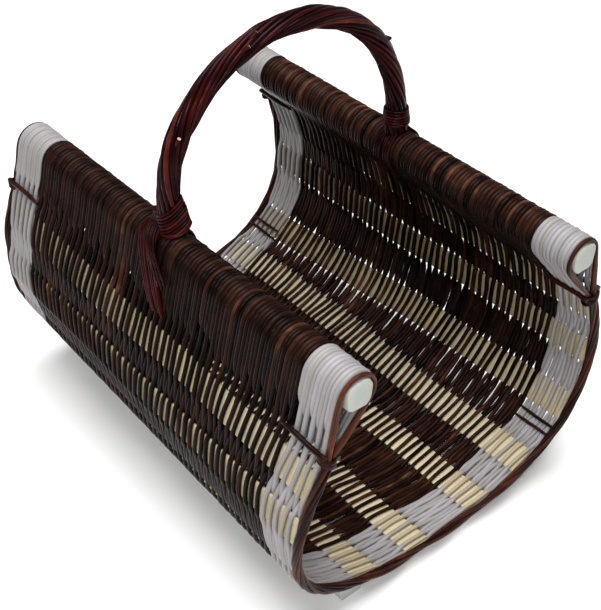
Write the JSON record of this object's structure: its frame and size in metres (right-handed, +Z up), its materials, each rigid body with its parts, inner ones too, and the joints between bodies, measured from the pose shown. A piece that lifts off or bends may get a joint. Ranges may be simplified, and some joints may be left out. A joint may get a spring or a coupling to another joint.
{
  "type": "woven log basket",
  "caption": "Open-ended woven willow log basket: a U-shaped trough on flat laths, side rails, a fixed twisted bow handle and floor runners.",
  "frame": {"origin": "on the floor, under the middle of the basket", "axes": "+Z up, +Y along the rails from the near open end to the far one, +X to the right seen from the near end"},
  "size_m": [0.4238, 0.54, 0.519],
  "materials": {
    "rail_wood": "matt",
    "lath_wood": "matt",
    "brown_willow": "satin",
    "white_willow": "satin",
    "border_willow": "satin",
    "handle_willow": "satin",
    "runner_wood": "matt"
  },
  "bodies": {
    "root": {"rail_left": "rail_wood", "rail_right": "rail_wood", "lath_01": "lath_wood", "lath_02": "lath_wood", "lath_03": "lath_wood", "lath_04": "lath_wood", "lath_05": "lath_wood", "lath_06": "lath_wood", "lath_07": "lath_wood", "lath_08": "lath_wood", "lath_09": "lath_wood", "lath_10": "lath_wood", "weave_brown": "brown_willow", "weave_white_front": "white_willow", "weave_white_rear": "white_willow", "border_front": "border_willow", "border_rear": "border_willow", "neck_tie_front_left": "border_willow", "neck_tie_front_right": "border_willow", "neck_tie_rear_left": "border_willow", "neck_tie_rear_right": "border_willow", "band_ties_front_left": "border_willow", "band_ties_front_right": "border_willow", "band_ties_rear_left": "border_willow", "band_ties_rear_right": "border_willow", "handle_core": "handle_willow", "handle_rods": "handle_willow", "collar_left": "handle_willow", "collar_right": "handle_willow", "tail_left": "handle_willow", "tail_right": "handle_willow", "runner_left": "runner_wood", "runner_right": "runner_wood"}
  },
  "joints": []
}
